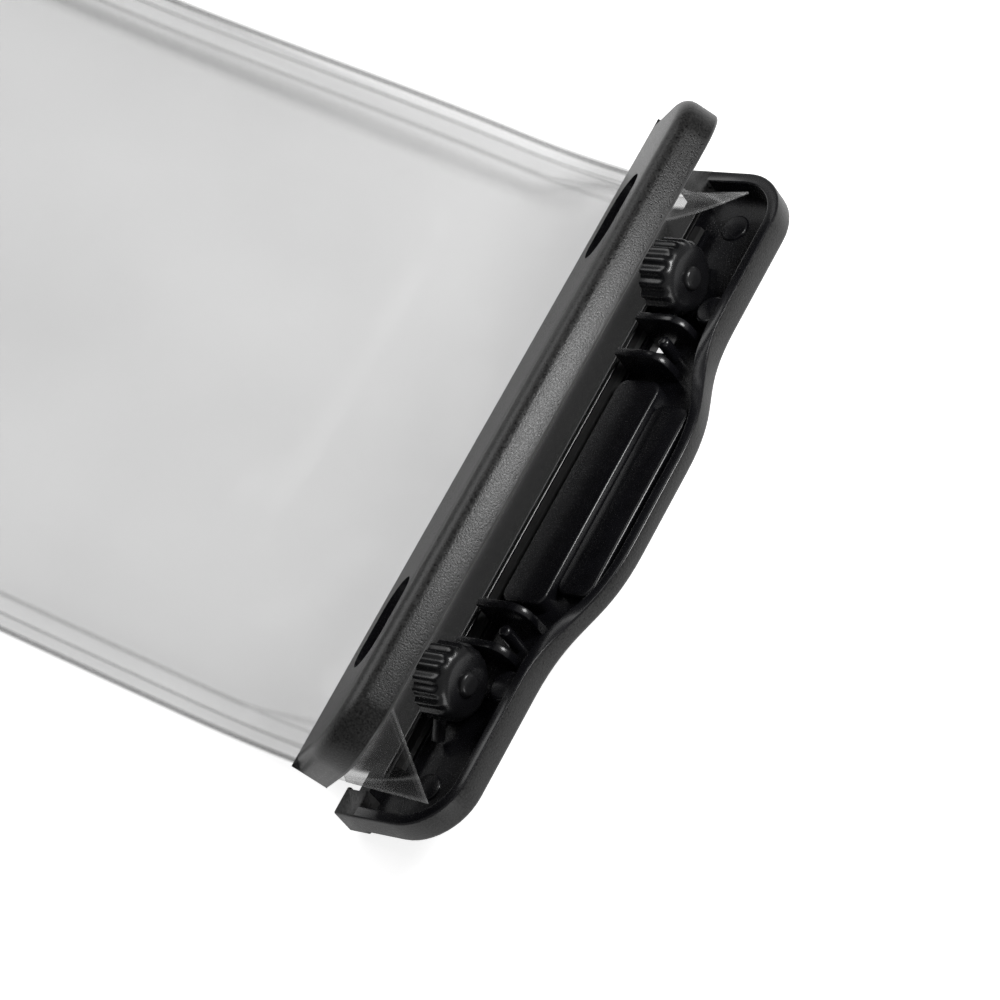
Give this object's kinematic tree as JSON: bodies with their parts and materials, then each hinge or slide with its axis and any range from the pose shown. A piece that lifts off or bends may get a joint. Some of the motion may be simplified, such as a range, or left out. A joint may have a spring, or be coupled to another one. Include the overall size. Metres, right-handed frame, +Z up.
{
  "type": "waterproof phone pouch",
  "caption": "Flat clear film bag with welded edges, closed by a dark two-jaw snap clip with two turning thumb locks, shown with the clip open.",
  "frame": {"origin": "middle of the underside's box, on the surface the pouch lies on", "axes": "+X along the clip, +Y from the closed end of the bag to the clip, +Z up"},
  "size_m": [0.1112, 0.2164, 0.029],
  "materials": {
    "film": "soft clear film, glossy, slightly grey",
    "clip_shell": "charcoal, fine spark-eroded grain outside, smooth inside",
    "seal": "satin black, smooth",
    "lock_knob": "glossy black with moulded ribs",
    "lock_pin": "dark"
  },
  "bodies": {
    "pouch": {"back_film": "film", "front_film": "film", "rear_jaw": "clip_shell", "rear_seal": "seal", "lock_pin_left": "lock_pin", "lock_pin_right": "lock_pin"},
    "front_jaw": {"front_jaw": "clip_shell", "front_seal": "seal", "front_mouth_lip": "film"},
    "lock_left": {"lock_knob_left": "lock_knob"},
    "lock_right": {"lock_knob_right": "lock_knob"}
  },
  "joints": [
    {"name": "clip_fold", "type": "hinge", "parent": "pouch", "child": "front_jaw", "pos_m": [0, 0.07782, 0.0054], "axis": [1, 0, 0], "range_deg": [-36, 60]},
    {"name": "lock_turn_left", "type": "hinge", "parent": "pouch", "child": "lock_left", "pos_m": [-0.0345, 0.09133, 0.01113], "axis": [0, 0.848, 0.5299], "range_deg": [0, 39]},
    {"name": "lock_turn_right", "type": "hinge", "parent": "pouch", "child": "lock_right", "pos_m": [0.0345, 0.09133, 0.01113], "axis": [0, -0.848, -0.5299], "range_deg": [0, 39]}
  ]
}
